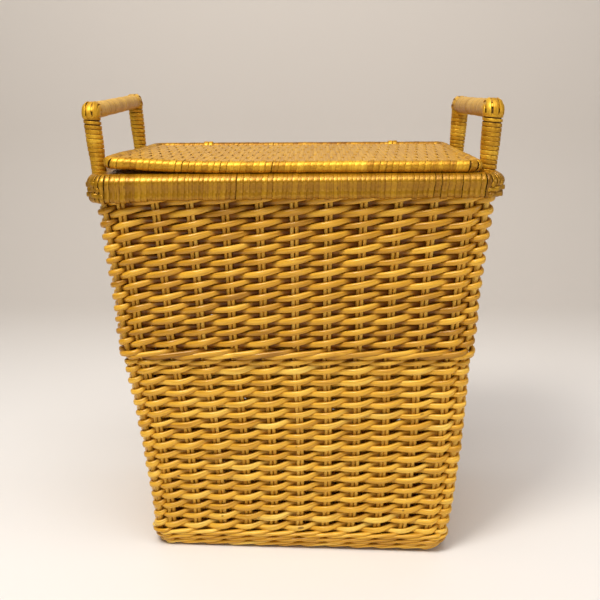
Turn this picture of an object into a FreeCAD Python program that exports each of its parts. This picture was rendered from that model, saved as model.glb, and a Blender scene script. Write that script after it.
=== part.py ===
import FreeCAD, Part
import Sketcher
import math
import os
from FreeCAD import Placement, Rotation, Vector

# Lidded wicker laundry hamper. Millimetres; +Z up, +X along the long side, the front faces -Y.
# The origin is the centre of the foot, on the floor.

os.makedirs("parts", exist_ok=True)
doc = FreeCAD.newDocument("LaundryHamper")

# ---------------------------------------------------------------- driving dimensions

SIZES = {
    # outside sizes of the rim, and where its top lies
    "rim_width": 514, "rim_depth": 340, "rim_corner": 30,
    "rim_top": 540, "rim_tall": 36, "rim_breadth": 42, "rim_round": 4.5, "mouth_corner": 7,
    # outside sizes of the tapered wall: at its top, just above the foot, and on the floor
    "top_width": 494, "top_depth": 320, "top_corner": 21,
    "foot_width": 422, "foot_depth": 252, "foot_corner": 19,
    "floor_width": 406, "floor_depth": 233, "floor_corner": 18,
    "wall": 15,
    # heights of the bands of weave
    "foot_top": 30, "waist_low": 288, "waist_high": 311, "wall_top": 506,
    "waist_swell": 2.5,
    # the woven base
    "base_low": 6, "base_high": 18, "base_stick_radius": 3.5, "base_stick_pitch": 30,
    # upright stakes, laid in pairs, and the posts in the corners
    "stake_radius": 2.4, "stake_spread": 2.55, "post_radius": 4,
    "stake_foot": 26, "stake_length": 507, "slot_gap": 0.2,
    # cane wrapping
    "wrap": 2, "wrap_gap": 0.2,
    # the channel between the two rim hoops, from the middle of the wall
    "channel_in": 2.5, "channel_out": 5.5, "hoop_margin": 2.2,
    # squared arch handles
    "handle_x": 243, "handle_y": 119, "handle_rise": 73, "handle_bend": 19,
    "handle_radius": 11, "tenon_radius": 3.7, "tenon_length": 28,
    # the lid
    "lid_width": 458, "lid_depth": 314, "lid_corner": 20, "lid_rod": 6.8,
    "lid_plate": 8, "lid_stick_radius": 2.5, "lid_stick_pitch": 39, "lid_stick_length": 422,
    # bound cane loops that hinge the lid
    "loop_x": 145, "loop_width": 14, "loop_band": 1.8, "loop_gap": 0.3,
}

FRONT_STEP = 0.179    # pitch of the front and back stake pairs, as a share of the half width
FRONT_REACH = 5       # pairs on each side of the middle one, front and back
SIDE_STEP = 0.28      # the same for the two ends, as a share of the half depth
SIDE_REACH = 3
BASE_STICKS = 7
LID_STICKS = 7

sheet = doc.addObject("Spreadsheet::Sheet", "Sizes")
for row, (alias, value) in enumerate(SIZES.items(), start=1):
    sheet.set(f"A{row}", alias)
    sheet.set(f"B{row}", str(value))
    sheet.setAlias(f"B{row}", alias)
doc.recompute()


def size(alias):
    return float(sheet.get(alias))


def cell(text):
    """Turn every bare alias in an expression into a reference to the sheet."""
    words = sorted(SIZES, key=len, reverse=True)
    out = []
    for token in text.replace("(", " ( ").replace(")", " ) ").split():
        out.append("Sizes." + token if token in words else token)
    return " ".join(out)


nodes = []


def keep(obj, label):
    """Mark an object as one of the hamper's pieces."""
    obj.Label = label
    nodes.append(obj)
    return obj


# ---------------------------------------------------------------- shared shapes

def rounded_rectangle(sketch, width, depth, corner):
    """Add a centred rounded rectangle to a sketch, its three sizes bound to the sheet."""
    half_w, half_d, r = 150.0, 100.0, 20.0
    near_x, near_y = half_w - r, half_d - r
    start = sketch.GeometryCount
    corners = [(near_x, -near_y, -90), (near_x, near_y, 0), (-near_x, near_y, 90), (-near_x, -near_y, 180)]
    lines = [
        (Vector(-near_x, -half_d, 0), Vector(near_x, -half_d, 0)),
        (Vector(half_w, -near_y, 0), Vector(half_w, near_y, 0)),
        (Vector(near_x, half_d, 0), Vector(-near_x, half_d, 0)),
        (Vector(-half_w, near_y, 0), Vector(-half_w, -near_y, 0)),
    ]
    for side in range(4):
        sketch.addGeometry(Part.LineSegment(*lines[side]), False)
        x, y, angle = corners[side]
        circle = Part.Circle(Vector(x, y, 0), Vector(0, 0, 1), r)
        sketch.addGeometry(Part.ArcOfCircle(circle, math.radians(angle), math.radians(angle + 90)), False)
    for side in range(4):
        line, arc = start + 2 * side, start + 2 * side + 1
        after = start + (2 * side + 2) % 8
        sketch.addConstraint(Sketcher.Constraint("Tangent", line, 2, arc, 1))
        sketch.addConstraint(Sketcher.Constraint("Tangent", arc, 2, after, 1))
        sketch.addConstraint(Sketcher.Constraint("Horizontal" if side % 2 == 0 else "Vertical", line))
    for side in range(1, 4):
        sketch.addConstraint(Sketcher.Constraint("Equal", start + 1, start + 2 * side + 1))
    sketch.addConstraint(Sketcher.Constraint("Symmetric", start, 1, start + 4, 1, -1, 1))
    bound = [
        (Sketcher.Constraint("DistanceX", start + 6, 1, start + 2, 1, 2 * half_w), width),
        (Sketcher.Constraint("DistanceY", start, 1, start + 4, 1, 2 * half_d), depth),
        (Sketcher.Constraint("Radius", start + 1, r), corner),
    ]
    for constraint, expression in bound:
        index = sketch.addConstraint(constraint)
        sketch.setExpression(f"Constraints[{index}]", cell(expression))


def section(name, width, depth, corner, height):
    """A level rounded rectangle at a height, for a loft."""
    sketch = doc.addObject("Sketcher::SketchObject", name)
    rounded_rectangle(sketch, width, depth, corner)
    sketch.setExpression(".Placement.Base.z", cell(height))
    return sketch


def loft(name, low, high):
    """A tapered block between two sections, each given as width, depth, corner and height."""
    solid = doc.addObject("Part::Loft", name)
    solid.Sections = [section(name + "_low", *low), section(name + "_high", *high)]
    solid.Solid = True
    solid.Ruled = True
    return solid


def cut(name, base, tool):
    result = doc.addObject("Part::Cut", name)
    result.Base = base
    result.Tool = tool
    return result


def gather(name, members):
    group = doc.addObject("Part::Compound", name)
    group.Links = members
    return group


def wall_size(edge, height, extra):
    """The wall's width, depth or corner at a height, grown by an amount."""
    rise = f"( {height} - foot_top ) / ( wall_top - foot_top )"
    return f"foot_{edge} + ( top_{edge} - foot_{edge} ) * {rise} + {extra}"


def wall_section(height, out):
    """The outline of the wall at a height, moved outwards by a distance."""
    return (
        wall_size("width", height, f"2 * ( {out} )"),
        wall_size("depth", height, f"2 * ( {out} )"),
        wall_size("corner", height, out),
        height,
    )


def floor_section(out):
    """The outline of the foot where it stands on the floor, moved outwards."""
    return (f"floor_width + 2 * ( {out} )", f"floor_depth + 2 * ( {out} )", f"floor_corner + {out}", "0")


def body_on(label):
    body = doc.addObject("PartDesign::Body", label + "_body")
    return body


def plane_of(body, role):
    return next(item for item in body.Origin.OriginFeatures if item.Role == role)


def sketch_on(body, role, name):
    sketch = body.newObject("Sketcher::SketchObject", name)
    sketch.AttachmentSupport = (plane_of(body, role), [""])
    sketch.MapMode = "FlatFace"
    return sketch


def ring(name, outer, inner, low, tall):
    """A level ring of rectangular section, padded from two rounded rectangles."""
    body = body_on(name)
    sketch = sketch_on(body, "XY_Plane", name + "_outline")
    rounded_rectangle(sketch, *outer)
    rounded_rectangle(sketch, *inner)
    pad = body.newObject("PartDesign::Pad", name + "_pad")
    pad.Profile = sketch
    pad.setExpression("Length", cell(tall))
    body.setExpression(".Placement.Base.z", cell(low))
    return body


# ---------------------------------------------------------------- where the uprights stand

def half_sizes(height):
    """Half width and half depth of the middle of the wall at a height."""
    rise = (height - size("foot_top")) / (size("wall_top") - size("foot_top"))
    width = size("foot_width") + (size("top_width") - size("foot_width")) * rise
    depth = size("foot_depth") + (size("top_depth") - size("foot_depth")) * rise
    corner = size("foot_corner") + (size("top_corner") - size("foot_corner")) * rise
    middle = size("wall") / 2
    return width / 2 - middle, depth / 2 - middle, corner - middle


def front_spot(share, side):
    """A function from height to the point where a front or back stake pair stands."""
    def spot(height):
        half_w, half_d, _ = half_sizes(height)
        return Vector(share * half_w, side * half_d, height)
    return spot


def end_spot(share, side):
    def spot(height):
        half_w, half_d, _ = half_sizes(height)
        return Vector(side * half_w, share * half_d, height)
    return spot


def corner_spot(side_x, side_y):
    def spot(height):
        half_w, half_d, r = half_sizes(height)
        inset = r * (1 - math.sqrt(0.5))
        return Vector(side_x * (half_w - inset), side_y * (half_d - inset), height)
    return spot


def upright_frame(spot, along):
    """The foot of an upright, and the turn that lays Z along it and X along the wall."""
    low, high = spot(size("stake_foot")), spot(size("wall_top"))
    up = (high - low).normalize()
    across = (along - up * along.dot(up)).normalize()
    return low, Rotation(across, up.cross(across), up, "ZXY")


def rod(name, base, turn, radius, length):
    cylinder = doc.addObject("Part::Cylinder", name)
    cylinder.setExpression("Radius", cell(radius))
    cylinder.setExpression("Height", cell(length))
    cylinder.Placement = Placement(base, turn)
    return cylinder


def slot(name, base, turn, width, thick):
    """The straight channel in the weave that an upright stands in, open at the top."""
    box = doc.addObject("Part::Box", name)
    box.setExpression("Length", cell(width))
    box.setExpression("Width", cell(thick))
    box.setExpression("Height", cell("stake_length"))
    room_x = (size("stake_spread") + size("stake_radius") + size("slot_gap")) if "spread" in width else None
    half_x = room_x or size("post_radius") + size("slot_gap")
    half_y = size("stake_radius") + size("slot_gap") if room_x else half_x
    box.Placement = Placement(base - turn.multVec(Vector(half_x, half_y, 0)), turn)
    return box


slots = []


def stake_pair(label, spot, along):
    base, turn = upright_frame(spot, along)
    rods = []
    for number, side in enumerate((-1, 1), start=1):
        shift = turn.multVec(Vector(side * size("stake_spread"), 0, 0))
        rods.append(rod(f"{label}_rod_{number}", base + shift, turn, "stake_radius", "stake_length"))
    keep(gather(label, rods), label)
    width = "2 * ( stake_spread + stake_radius + slot_gap )"
    slots.append(slot(label + "_slot", base, turn, width, "2 * ( stake_radius + slot_gap )"))


for number in range(-FRONT_REACH, FRONT_REACH + 1):
    share = FRONT_STEP * number
    tag = f"{number + FRONT_REACH + 1:02d}"
    stake_pair("stakes_front_" + tag, front_spot(share, -1), Vector(1, 0, 0))
    stake_pair("stakes_back_" + tag, front_spot(share, 1), Vector(1, 0, 0))

for number in range(-SIDE_REACH, SIDE_REACH + 1):
    share = SIDE_STEP * number
    tag = f"{number + SIDE_REACH + 1:02d}"
    stake_pair("stakes_left_" + tag, end_spot(share, -1), Vector(0, 1, 0))
    stake_pair("stakes_right_" + tag, end_spot(share, 1), Vector(0, 1, 0))

for side_y, face in ((-1, "front"), (1, "back")):
    for side_x, end in ((-1, "left"), (1, "right")):
        label = f"corner_post_{face}_{end}"
        base, turn = upright_frame(corner_spot(side_x, side_y), Vector(side_x, -side_y, 0))
        keep(rod(label, base, turn, "post_radius", "stake_length"), label)
        square = "2 * ( post_radius + slot_gap )"
        slots.append(slot(label + "_slot", base, turn, square, square))

all_slots = gather("upright_slots", slots)

# ---------------------------------------------------------------- the woven bands of the wall

def woven_band(label, outer, inner):
    shell = cut(label + "_shell", loft(label + "_outside", *outer), loft(label + "_inside", *inner))
    return cut(label, shell, all_slots)


foot = woven_band(
    "foot_wale",
    (floor_section("0"), wall_section("foot_top", "0")),
    (floor_section("- wall"), wall_section("foot_top", "- wall")),
)
keep(foot, "foot_wale")

lower = woven_band(
    "lower_weave",
    (wall_section("foot_top", "0"), wall_section("waist_low", "0")),
    (wall_section("foot_top", "- wall"), wall_section("waist_low", "- wall")),
)
keep(lower, "lower_weave")

waist = woven_band(
    "waist_wale",
    (wall_section("waist_low", "waist_swell"), wall_section("waist_high", "waist_swell")),
    (wall_section("waist_low", "- wall - 0.5"), wall_section("waist_high", "- wall - 0.5")),
)
keep(waist, "waist_wale")

upper_plain = woven_band(
    "upper_weave_plain",
    (wall_section("waist_high", "0"), wall_section("wall_top", "0")),
    (wall_section("waist_high", "- wall"), wall_section("wall_top", "- wall")),
)


def loop_slit(name, x_sign):
    """The slit under the rim that a hinge loop passes through."""
    box = doc.addObject("Part::Box", name)
    box.setExpression("Length", cell("loop_width + 2 * loop_gap"))
    box.setExpression("Width", cell("3 * wall"))
    box.setExpression("Height", cell("loop_band + 2 * loop_gap"))
    box.setExpression(".Placement.Base.x", cell(f"{x_sign} * loop_x - loop_width / 2 - loop_gap"))
    box.setExpression(".Placement.Base.y", cell("top_depth / 2 - 2 * wall"))
    box.setExpression(".Placement.Base.z", cell("rim_top - rim_tall - loop_band - 2 * loop_gap"))
    return box


slits = gather("loop_slits", [loop_slit("slit_left", -1), loop_slit("slit_right", 1)])
keep(cut("upper_weave", upper_plain, slits), "upper_weave")

# ---------------------------------------------------------------- the woven base

def level_rods(name, count, pitch, radius, length, height, grow):
    """Rods along X side by side in Y; grow widens and lengthens them into clearance slots."""
    rods = []
    for number in range(count):
        place = number - (count - 1) / 2
        stick = doc.addObject("Part::Cylinder", f"{name}_{number + 1}")
        stick.setExpression("Radius", cell(f"{radius} + {grow}"))
        stick.setExpression("Height", cell(f"{length} + 2 * {grow}"))
        stick.Placement = Placement(Vector(0, 0, 0), Rotation(Vector(0, 1, 0), 90))
        stick.setExpression(".Placement.Base.x", cell(f"- ( {length} ) / 2 - {grow}"))
        stick.setExpression(".Placement.Base.y", cell(f"{place} * {pitch}"))
        stick.setExpression(".Placement.Base.z", cell(height))
        rods.append(stick)
    return gather(name, rods)


BASE_ROD = (BASE_STICKS, "base_stick_pitch", "base_stick_radius", "( floor_width - 3 * wall )",
            "( base_low + base_high ) / 2")
keep(level_rods("base_sticks", *BASE_ROD, "0"), "base_sticks")

base_core = loft("base_core", floor_section("- wall"), wall_section("foot_top", "- wall"))
base_slab = doc.addObject("Part::Box", "base_slab")
base_slab.setExpression("Length", cell("floor_width"))
base_slab.setExpression("Width", cell("floor_depth"))
base_slab.setExpression("Height", cell("base_high - base_low"))
base_slab.setExpression(".Placement.Base.x", cell("- floor_width / 2"))
base_slab.setExpression(".Placement.Base.y", cell("- floor_depth / 2"))
base_slab.setExpression(".Placement.Base.z", cell("base_low"))
base_block = doc.addObject("Part::Common", "base_block")
base_block.Base = base_core
base_block.Tool = base_slab
keep(cut("base_weave", base_block, level_rods("base_rooms", *BASE_ROD, "slot_gap")), "base_weave")

# ---------------------------------------------------------------- the rim

RIM_LOW = "rim_top - rim_tall"
COVER = "( wrap + wrap_gap )"
CHANNEL_OUT = "( channel_out - wall / 2 )"
CHANNEL_IN = "( channel_in + wall / 2 )"


def rim_line(inset):
    """A rounded rectangle inside the rim's outer line by an amount."""
    return (f"rim_width - 2 * ( {inset} )", f"rim_depth - 2 * ( {inset} )", f"rim_corner - ( {inset} )")


def mouth_line(grow):
    """A rounded rectangle outside the rim's inner line by an amount."""
    reach = f"2 * ( {grow} - rim_breadth )"
    return (f"rim_width + {reach}", f"rim_depth + {reach}", f"mouth_corner + {grow}")


def channel_line(out):
    """A rounded rectangle beside the wall's top line."""
    return (f"top_width + 2 * ( {out} )", f"top_depth + 2 * ( {out} )", f"top_corner + {out}")


HOOP_BAND = (RIM_LOW + " + hoop_margin", "rim_tall - 2 * hoop_margin")
outer_hoop = ring("outer_hoop", rim_line(COVER), channel_line(CHANNEL_OUT), *HOOP_BAND)
inner_hoop = ring("inner_hoop", channel_line(f"- {CHANNEL_IN}"), mouth_line(COVER), *HOOP_BAND)

rim_block = ring("rim_block", rim_line("0"), mouth_line("0"), RIM_LOW, "rim_tall")
rim_cavity = ring("rim_cavity", rim_line("wrap"), mouth_line("wrap"),
                  RIM_LOW + " + wrap", "rim_tall - 2 * wrap")
wall_room = ring("wall_room", channel_line("slot_gap"), channel_line("- wall - slot_gap"),
                 RIM_LOW + " - 1", "hoop_margin + 1")
doc.recompute()

rim_soft = doc.addObject("Part::Fillet", "rim_soft")
rim_soft.Base = rim_block
rim_soft.Edges = [
    (index, size("rim_round"), size("rim_round"))
    for index, edge in enumerate(rim_block.Shape.Edges, start=1)
    if edge.BoundBox.ZLength < 0.01
]

# ---------------------------------------------------------------- the handles

def handle_path(body, name):
    """Up one leg, along the bar and down the other leg, in the plane of the handle."""
    sketch = sketch_on(body, "YZ_Plane", name)
    reach, rise, bend = size("handle_y"), size("handle_rise"), size("handle_bend")
    sketch.addGeometry(Part.LineSegment(Vector(-reach, 0, 0), Vector(-reach, rise - bend, 0)), False)
    left = Part.Circle(Vector(-reach + bend, rise - bend, 0), Vector(0, 0, 1), bend)
    sketch.addGeometry(Part.ArcOfCircle(left, math.pi / 2, math.pi), False)
    sketch.addGeometry(Part.LineSegment(Vector(-reach + bend, rise, 0), Vector(reach - bend, rise, 0)), False)
    right = Part.Circle(Vector(reach - bend, rise - bend, 0), Vector(0, 0, 1), bend)
    sketch.addGeometry(Part.ArcOfCircle(right, 0, math.pi / 2), False)
    sketch.addGeometry(Part.LineSegment(Vector(reach, rise - bend, 0), Vector(reach, 0, 0)), False)
    for joint in ((0, 2, 1, 2), (1, 1, 2, 1), (2, 2, 3, 2), (3, 1, 4, 1)):
        sketch.addConstraint(Sketcher.Constraint("Tangent", *joint))
    sketch.addConstraint(Sketcher.Constraint("Vertical", 0))
    sketch.addConstraint(Sketcher.Constraint("Horizontal", 2))
    sketch.addConstraint(Sketcher.Constraint("Equal", 1, 3))
    sketch.addConstraint(Sketcher.Constraint("Symmetric", 0, 1, 4, 2, -1, 1))
    bound = [
        (Sketcher.Constraint("DistanceX", 0, 1, 4, 2, 2 * reach), "2 * handle_y"),
        (Sketcher.Constraint("DistanceY", 0, 1, 2, 1, rise), "handle_rise"),
        (Sketcher.Constraint("Radius", 1, bend), "handle_bend"),
    ]
    for constraint, expression in bound:
        index = sketch.addConstraint(constraint)
        sketch.setExpression(f"Constraints[{index}]", cell(expression))
    return sketch


def circle_at(sketch, x, y, radius_value, radius):
    """A circle in a sketch, its radius and its centre on the sketch's Y axis bound to the sheet."""
    sketch.addGeometry(Part.Circle(Vector(x, y, 0), Vector(0, 0, 1), radius_value), False)
    index = sketch.addConstraint(Sketcher.Constraint("Radius", sketch.GeometryCount - 1, radius_value))
    sketch.setExpression(f"Constraints[{index}]", cell(radius))


def handle_sweep(name, radius_value, radius, x_sign):
    body = body_on(name)
    path = handle_path(body, name + "_path")
    profile = sketch_on(body, "XY_Plane", name + "_profile")
    circle_at(profile, 0, -size("handle_y"), radius_value, radius)
    pipe = body.newObject("PartDesign::AdditivePipe", name + "_pipe")
    pipe.Profile = profile
    pipe.Spine = (path, [])
    body.setExpression(".Placement.Base.x", cell(f"{x_sign} * handle_x"))
    body.setExpression(".Placement.Base.z", cell("rim_top"))
    return body


def add_tenons(body, name):
    """Thinner ends on the handle's legs, that go down between the two rim hoops."""
    sketch = sketch_on(body, "XY_Plane", name + "_tenons")
    for side in (-1, 1):
        circle_at(sketch, 0, side * size("handle_y"), size("tenon_radius"), "tenon_radius")
    pad = body.newObject("PartDesign::Pad", name + "_tenon_pad")
    pad.Profile = sketch
    pad.Reversed = True
    pad.setExpression("Length", cell("tenon_length"))


tenon_rooms = []
CORE_RADIUS = "handle_radius - wrap - wrap_gap"
for x_sign, end in ((-1, "left"), (1, "right")):
    core_radius = size("handle_radius") - size("wrap") - size("wrap_gap")
    core = handle_sweep(f"handle_core_{end}", core_radius, CORE_RADIUS, x_sign)
    add_tenons(core, f"handle_core_{end}")
    keep(core, f"handle_core_{end}")
    skin = handle_sweep(f"handle_skin_{end}", size("handle_radius"), "handle_radius", x_sign)
    room = handle_sweep(f"handle_room_{end}", core_radius + size("wrap_gap"), CORE_RADIUS + " + wrap_gap", x_sign)
    keep(cut(f"handle_wrap_{end}", skin, room), f"handle_wrap_{end}")
    for y_sign in (-1, 1):
        hole = doc.addObject("Part::Cylinder", f"tenon_room_{end}_{'front' if y_sign < 0 else 'back'}")
        hole.setExpression("Radius", cell("tenon_radius + wrap_gap"))
        hole.setExpression("Height", cell("tenon_length + 2"))
        hole.setExpression(".Placement.Base.x", cell(f"{x_sign} * handle_x"))
        hole.setExpression(".Placement.Base.y", cell(f"{y_sign} * handle_y"))
        hole.setExpression(".Placement.Base.z", cell("rim_top - tenon_length - 1"))
        tenon_rooms.append(hole)

hoop_rooms = gather("hoop_rooms", [all_slots] + tenon_rooms)
keep(cut("rim_outer_hoop", outer_hoop, hoop_rooms), "rim_outer_hoop")
keep(cut("rim_inner_hoop", inner_hoop, hoop_rooms), "rim_inner_hoop")
rim_rooms = gather("rim_rooms", [rim_cavity, wall_room] + tenon_rooms)
keep(cut("rim_wrap", rim_soft, rim_rooms), "rim_wrap")

# ---------------------------------------------------------------- the lid

LID_MIDDLE = "rim_top + lid_rod"


def lid_ring(name, radius_value, radius):
    """A rod of round section bent into the lid's rounded rectangle."""
    body = body_on(name)
    path = sketch_on(body, "XY_Plane", name + "_path")
    rounded_rectangle(path, "lid_width - 2 * lid_rod", "lid_depth - 2 * lid_rod", "lid_corner - lid_rod")
    profile = sketch_on(body, "YZ_Plane", name + "_profile")
    profile.addGeometry(Part.Circle(Vector(-150, 0, 0), Vector(0, 0, 1), radius_value), False)
    bound = [
        (Sketcher.Constraint("Radius", 0, radius_value), radius),
        (Sketcher.Constraint("DistanceX", 0, 3, -1, 1, 150), "lid_depth / 2 - lid_rod"),
    ]
    for constraint, expression in bound:
        index = profile.addConstraint(constraint)
        profile.setExpression(f"Constraints[{index}]", cell(expression))
    profile.addConstraint(Sketcher.Constraint("PointOnObject", 0, 3, -1))
    pipe = body.newObject("PartDesign::AdditivePipe", name + "_pipe")
    pipe.Profile = profile
    pipe.Spine = (path, [])
    body.setExpression(".Placement.Base.z", cell(LID_MIDDLE))
    return body


rod_radius = size("lid_rod")
wrap_inside = rod_radius - size("wrap")
keep(lid_ring("lid_frame", wrap_inside - size("wrap_gap"), "lid_rod - wrap - wrap_gap"), "lid_frame")
lid_skin = lid_ring("lid_skin", rod_radius, "lid_rod")
lid_room = lid_ring("lid_room", wrap_inside, "lid_rod - wrap")
keep(cut("lid_wrap", lid_skin, lid_room), "lid_wrap")

LID_ROD = (LID_STICKS, "lid_stick_pitch", "lid_stick_radius", "lid_stick_length", LID_MIDDLE)
keep(level_rods("lid_sticks", *LID_ROD, "0"), "lid_sticks")

lid_plate = body_on("lid_plate")
lid_outline = sketch_on(lid_plate, "XY_Plane", "lid_plate_outline")
rounded_rectangle(lid_outline, "lid_width - 3 * lid_rod", "lid_depth - 3 * lid_rod", "lid_corner - 1.5 * lid_rod")
plate_pad = lid_plate.newObject("PartDesign::Pad", "lid_plate_pad")
plate_pad.Profile = lid_outline
plate_pad.setExpression("Length", cell("lid_plate"))
lid_plate.setExpression(".Placement.Base.z", cell(LID_MIDDLE + " - lid_plate / 2"))


def loop_notch(name, x_sign):
    """Room in the rear edge of the lid's weave for a hinge loop to pass round the rod."""
    box = doc.addObject("Part::Box", name)
    box.setExpression("Length", cell("loop_width + 2"))
    box.setExpression("Width", cell("2 * lid_rod"))
    box.setExpression("Height", cell("2 * lid_plate"))
    box.setExpression(".Placement.Base.x", cell(f"{x_sign} * loop_x - loop_width / 2 - 1"))
    box.setExpression(".Placement.Base.y", cell("lid_depth / 2 - 2.6 * lid_rod"))
    box.setExpression(".Placement.Base.z", cell(LID_MIDDLE + " - lid_plate"))
    return box


lid_rooms = gather("lid_rooms", [
    lid_skin,
    level_rods("lid_stick_rooms", *LID_ROD, "slot_gap"),
    loop_notch("notch_left", -1),
    loop_notch("notch_right", 1),
])
keep(cut("lid_weave", lid_plate, lid_rooms), "lid_weave")

# ---------------------------------------------------------------- the hinge loops

def loop_cylinder(name, radius, x_sign):
    """A cylinder on the hinge axis, as long as a loop is wide."""
    cylinder = doc.addObject("Part::Cylinder", name)
    cylinder.setExpression("Radius", cell(radius))
    cylinder.setExpression("Height", cell("loop_width"))
    cylinder.Placement = Placement(Vector(0, 0, 0), Rotation(Vector(0, 1, 0), 90))
    cylinder.setExpression(".Placement.Base.x", cell(f"{x_sign} * loop_x - loop_width / 2"))
    cylinder.setExpression(".Placement.Base.y", cell("lid_depth / 2 - lid_rod"))
    cylinder.setExpression(".Placement.Base.z", cell(LID_MIDDLE))
    return cylinder


def loop_band(name, grow, x_sign):
    """A block round the rim's section, grown outwards by a distance."""
    body = body_on(name)
    sketch = sketch_on(body, "YZ_Plane", name + "_outline")
    rounded_rectangle(sketch, f"rim_breadth + 2 * ( {grow} )", f"rim_tall + 2 * ( {grow} )", f"rim_round + {grow}")
    pad = body.newObject("PartDesign::Pad", name + "_pad")
    pad.Profile = sketch
    pad.setExpression("Length", cell("loop_width"))
    body.setExpression(".Placement.Base.x", cell(f"{x_sign} * loop_x - loop_width / 2"))
    body.setExpression(".Placement.Base.y", cell("rim_depth / 2 - rim_breadth / 2"))
    body.setExpression(".Placement.Base.z", cell("rim_top - rim_tall / 2"))
    return body


for x_sign, end in ((-1, "left"), (1, "right")):
    eye = loop_cylinder(f"loop_eye_{end}", "lid_rod + loop_gap + loop_band", x_sign)
    band = loop_band(f"loop_band_{end}", "loop_band + 0.1", x_sign)
    whole = doc.addObject("Part::Fuse", f"loop_whole_{end}")
    whole.Base = eye
    whole.Tool = band
    bore = loop_cylinder(f"loop_bore_{end}", "lid_rod + loop_gap", x_sign)
    core = loop_band(f"loop_core_{end}", "0.1", x_sign)
    hollow = gather(f"loop_hollow_{end}", [bore, core])
    keep(cut(f"hinge_loop_{end}", whole, hollow), f"hinge_loop_{end}")

# ---------------------------------------------------------------- check and write

doc.recompute()
for obj in doc.Objects:
    if "Invalid" in obj.State or "Error" in obj.State:
        raise RuntimeError(f"{obj.Label} did not build: {obj.State}")
for obj in nodes:
    if obj.Shape.isNull() or not obj.Shape.isValid() or not obj.Shape.Solids:
        raise RuntimeError(f"{obj.Label} has no valid solid")
    obj.Shape.exportStep(f"parts/{obj.Label}.step")
    box = obj.Shape.BoundBox
    print(f"{obj.Label}: {len(obj.Shape.Solids)} solid(s), {obj.Shape.Volume:.0f} mm3, "
          f"x {box.XMin:.1f}..{box.XMax:.1f}, y {box.YMin:.1f}..{box.YMax:.1f}, z {box.ZMin:.1f}..{box.ZMax:.1f}")
print(f"{len(nodes)} pieces")
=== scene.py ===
import math
import random

import bpy
import numpy as np
from mathutils import Matrix, Vector


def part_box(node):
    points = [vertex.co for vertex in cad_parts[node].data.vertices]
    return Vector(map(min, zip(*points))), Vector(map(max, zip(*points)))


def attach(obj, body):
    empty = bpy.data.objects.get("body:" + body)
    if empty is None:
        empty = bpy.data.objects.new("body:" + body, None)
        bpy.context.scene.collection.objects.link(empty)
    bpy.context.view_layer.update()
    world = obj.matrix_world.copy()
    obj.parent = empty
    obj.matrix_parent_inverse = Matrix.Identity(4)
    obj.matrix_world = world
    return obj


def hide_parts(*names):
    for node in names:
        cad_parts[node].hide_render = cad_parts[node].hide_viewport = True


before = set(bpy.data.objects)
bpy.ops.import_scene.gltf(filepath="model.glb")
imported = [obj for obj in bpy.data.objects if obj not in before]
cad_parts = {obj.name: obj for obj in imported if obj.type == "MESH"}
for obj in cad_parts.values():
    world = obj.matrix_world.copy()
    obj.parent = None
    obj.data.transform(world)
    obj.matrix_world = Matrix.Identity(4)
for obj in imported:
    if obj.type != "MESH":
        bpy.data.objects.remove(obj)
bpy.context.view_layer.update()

# Lidded wicker hamper. Metres, in the CAD frame: +X along the long side, the front faces -Y, +Z up.

MM = 0.001
UP = np.array([0, 0, 1.0])
dice = random.Random(11)


def node_box(name):
    """Low and high corner of a CAD node's box."""
    low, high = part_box(name)
    return np.array(low), np.array(high)


# -------- sizes read from the frame

FOOT_HIGH = node_box("foot_wale")[1]
LOWER_LOW, LOWER_HIGH = node_box("lower_weave")
WAIST_LOW, WAIST_HIGH = node_box("waist_wale")
UPPER_LOW, UPPER_HIGH = node_box("upper_weave")
RIM_LOW, RIM_HIGH = node_box("rim_wrap")
LID_LOW, LID_HIGH = node_box("lid_wrap")
STICKS_LOW, STICKS_HIGH = node_box("lid_sticks")
BASE_STICKS_LOW, BASE_STICKS_HIGH = node_box("base_sticks")

# -------- sizes of the weave

WALL = 15 * MM                      # thickness of the woven wall
STAKES_FRONT, STAKES_END = 12, 8    # steps between uprights along the front and along one end
STAKES_ROUND = 2 * (STAKES_FRONT + STAKES_END)
CORNERS = np.cumsum([0, STAKES_FRONT, STAKES_END, STAKES_FRONT, STAKES_END])
FRONT_SHARE, END_SHARE = 0.179, 0.28    # step between stake pairs, as a share of the half size
WALL_CORNER_LOW, WALL_CORNER_HIGH = 19 * MM, 21 * MM
FOOT_INSET = 8.5 * MM               # how far the foot draws in at the floor
FOOT_TUCK = 4.5 * MM                # how much more its right end draws in
LEAN = 4.5 * MM                     # the lower half has slumped this far to the right
SKEW = 0.036                        # the foot is twisted, its right end nearer the front
SWELL = 3.0 * MM                    # the ends swell this much above the waist

STRAND_TALL, STRAND_THICK = 8.4 * MM, 5.6 * MM
STAKE_RADIUS, STAKE_SPREAD, POST_RADIUS = 2.5 * MM, 2.75 * MM, 4 * MM
INNER_FULLER, BACK_FULLER = 0.6, 0.45   # how much taller strands lie inside, and in the back wall
PINCH = 0.15                        # how much a strand thins where it passes between two uprights
SAMPLES = 9                         # samples between two uprights
ROD_LAPS = (0.55, 0.95)             # how far one willow rod reaches round the basket
ROD_TAIL = 0.42                     # how far a rod's end runs on beside the next rod, in uprights
WALE_START = 31.4                   # the wales begin near the back left corner, in uprights

# -------- mesh building


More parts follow.
